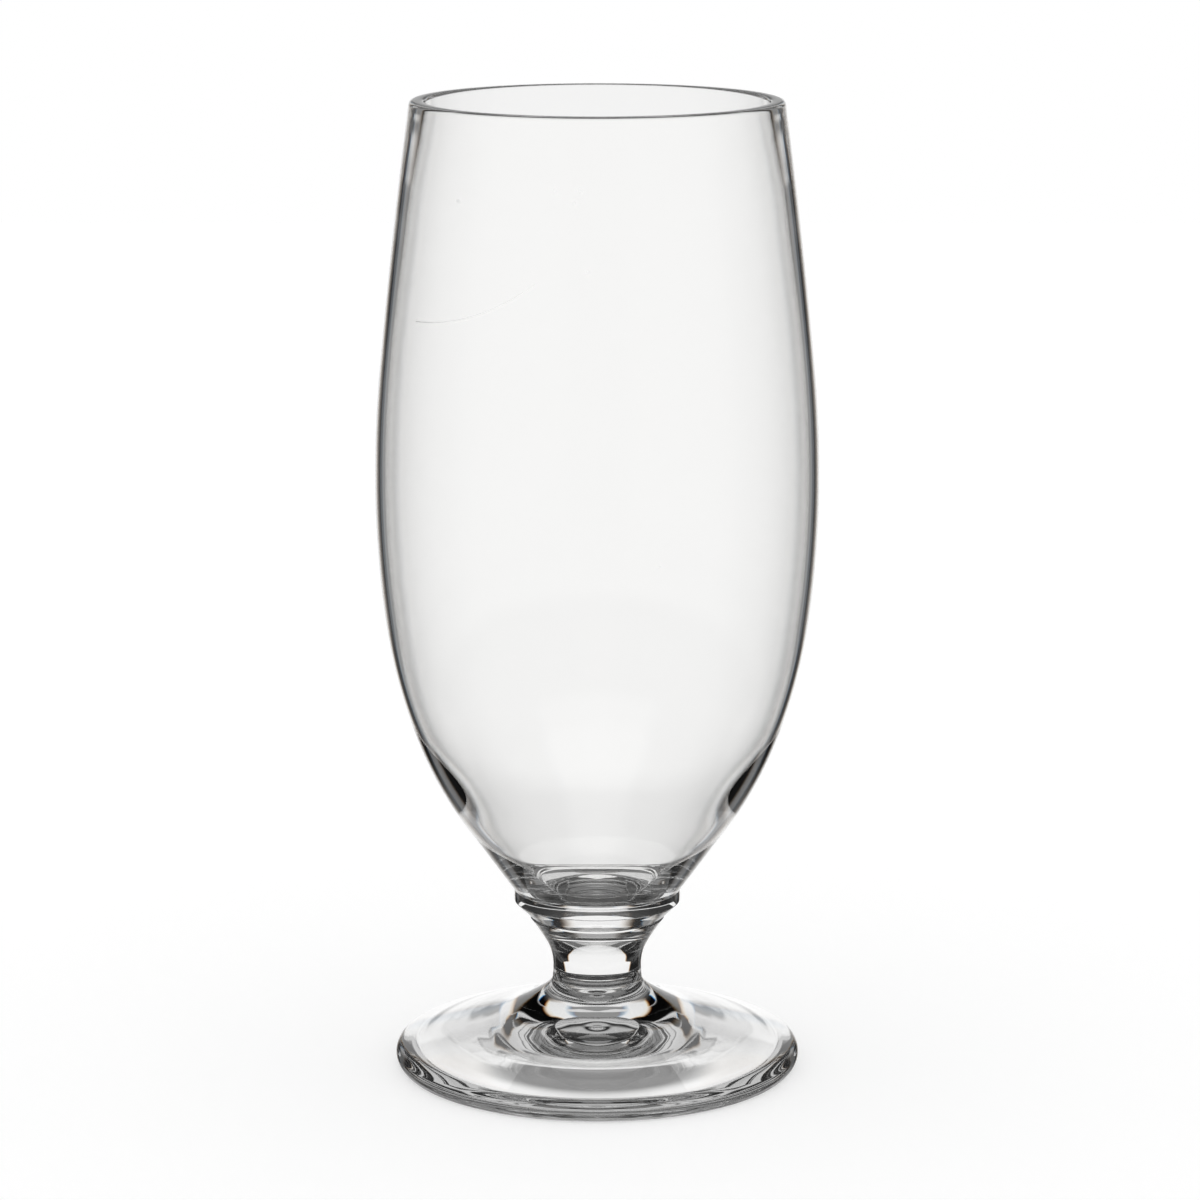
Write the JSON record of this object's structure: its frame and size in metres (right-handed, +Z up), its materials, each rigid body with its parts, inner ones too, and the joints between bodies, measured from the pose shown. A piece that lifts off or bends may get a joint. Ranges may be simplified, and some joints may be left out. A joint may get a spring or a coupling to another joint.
{
  "type": "pilsner glass",
  "caption": "Clear footed beer glass: a tall bowl that swells below a narrower rim, a short waisted stem and a domed round foot.",
  "frame": {"origin": "centre of the ring that the foot stands on, on the glass's axis", "axes": "+Z up along the glass's axis to the rim; the glass is round about it, so +X and +Y only set the view, with +X to the right in the picture and +Y away from the camera"},
  "size_m": [0.0744, 0.0744, 0.165],
  "materials": {
    "clear_bowl": "polished clear polycarbonate, water clear, with faint hairline scratches",
    "clear_stem": "polished clear polycarbonate, solid, so its edges look dark",
    "clear_foot": "polished clear polycarbonate, with faint moulding ripple and handling marks"
  },
  "bodies": {
    "root": {"bowl": "clear_bowl", "stem": "clear_stem", "foot": "clear_foot"}
  },
  "joints": []
}
